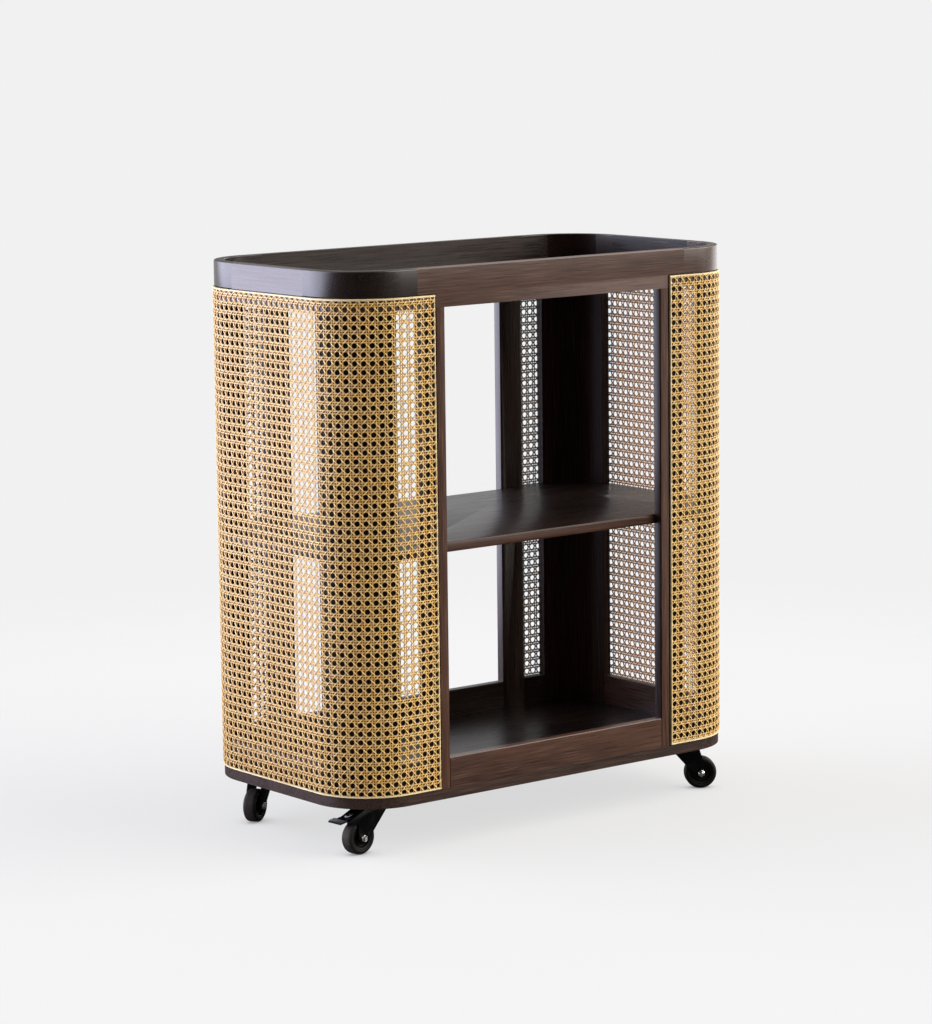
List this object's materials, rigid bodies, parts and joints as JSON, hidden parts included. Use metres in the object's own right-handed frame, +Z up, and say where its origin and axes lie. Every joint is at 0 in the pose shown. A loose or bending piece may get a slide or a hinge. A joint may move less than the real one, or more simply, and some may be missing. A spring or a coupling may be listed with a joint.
{
  "type": "bar cart",
  "caption": "Upright rounded bar cart of dark wood with a rimmed tray top, a middle shelf, open front and back, woven cane wrapped round both ends and swivel casters with brakes.",
  "frame": {"origin": "on the floor under the middle of the cart", "axes": "+Z up, X along the length, -Y towards the front, which is one of the two open faces"},
  "size_m": [0.7556, 0.4026, 0.848],
  "materials": {
    "dark_wood": "dark espresso stain, satin, open grain",
    "woven_cane": "natural cane, octagonal weave",
    "reed": "bare pale reed",
    "black_steel": "black, satin",
    "zinc_steel": "zinc plated",
    "black_rubber": "matt black"
  },
  "bodies": {
    "cart": {"base_board": "dark_wood", "tray_floor": "dark_wood", "middle_shelf": "dark_wood", "rim_front": "dark_wood", "rim_back": "dark_wood", "rim_left": "dark_wood", "rim_right": "dark_wood", "rim_corners": "dark_wood", "bottom_rail_front": "dark_wood", "bottom_rail_back": "dark_wood", "bottom_rail_left": "dark_wood", "bottom_rail_right": "dark_wood", "filling_rails": "dark_wood", "stile_back_right": "dark_wood", "stile_back_left": "dark_wood", "stile_front_left": "dark_wood", "stile_front_right": "dark_wood", "corner_panel_back_right": "dark_wood", "corner_panel_back_left": "dark_wood", "corner_panel_front_left": "dark_wood", "corner_panel_front_right": "dark_wood", "cane_left": "woven_cane", "cane_right": "woven_cane", "cane_spline_left": "reed", "cane_spline_right": "reed", "caster_plates": "black_steel"},
    "caster_back_right": {"fork_back_right": "black_steel", "axle_back_right": "zinc_steel"},
    "roller_back_right": {"wheel_back_right": "black_rubber"},
    "pedal_back_right": {"brake_pedal_back_right": "black_steel"},
    "caster_back_left": {"fork_back_left": "black_steel", "axle_back_left": "zinc_steel"},
    "roller_back_left": {"wheel_back_left": "black_rubber"},
    "caster_front_left": {"fork_front_left": "black_steel", "axle_front_left": "zinc_steel"},
    "roller_front_left": {"wheel_front_left": "black_rubber"},
    "pedal_front_left": {"brake_pedal_front_left": "black_steel"},
    "caster_front_right": {"fork_front_right": "black_steel", "axle_front_right": "zinc_steel"},
    "roller_front_right": {"wheel_front_right": "black_rubber"}
  },
  "joints": [
    {"name": "swivel_back_right", "type": "hinge", "parent": "cart", "child": "caster_back_right", "pos_m": [0.305, 0.137, 0.0707], "axis": [0, 0, 1], "continuous": true},
    {"name": "roll_back_right", "type": "hinge", "parent": "caster_back_right", "child": "roller_back_right", "pos_m": [0.3309, 0.13927, 0.025], "axis": [-0.0872, 0.9962, 0], "continuous": true},
    {"name": "brake_back_right", "type": "hinge", "parent": "caster_back_right", "child": "pedal_back_right", "pos_m": [0.32094, 0.13839, 0.0595], "axis": [-0.0872, 0.9962, 0], "range_deg": [0, 8]},
    {"name": "swivel_back_left", "type": "hinge", "parent": "cart", "child": "caster_back_left", "pos_m": [-0.305, 0.137, 0.0707], "axis": [0, 0, 1], "continuous": true},
    {"name": "roll_back_left", "type": "hinge", "parent": "caster_back_left", "child": "roller_back_left", "pos_m": [-0.32752, 0.124, 0.025], "axis": [0.5, -0.866, 0], "continuous": true},
    {"name": "swivel_front_left", "type": "hinge", "parent": "cart", "child": "caster_front_left", "pos_m": [-0.305, -0.137, 0.0707], "axis": [0, 0, 1], "continuous": true},
    {"name": "roll_front_left", "type": "hinge", "parent": "caster_front_left", "child": "roller_front_left", "pos_m": [-0.3309, -0.13927, 0.025], "axis": [0.0872, -0.9962, 0], "continuous": true},
    {"name": "brake_front_left", "type": "hinge", "parent": "caster_front_left", "child": "pedal_front_left", "pos_m": [-0.32094, -0.13839, 0.0595], "axis": [0.0872, -0.9962, 0], "range_deg": [0, 8]},
    {"name": "swivel_front_right", "type": "hinge", "parent": "cart", "child": "caster_front_right", "pos_m": [0.305, -0.137, 0.0707], "axis": [0, 0, 1], "continuous": true},
    {"name": "roll_front_right", "type": "hinge", "parent": "caster_front_right", "child": "roller_front_right", "pos_m": [0.32681, -0.15116, 0.025], "axis": [0.5446, 0.8387, 0], "continuous": true}
  ]
}
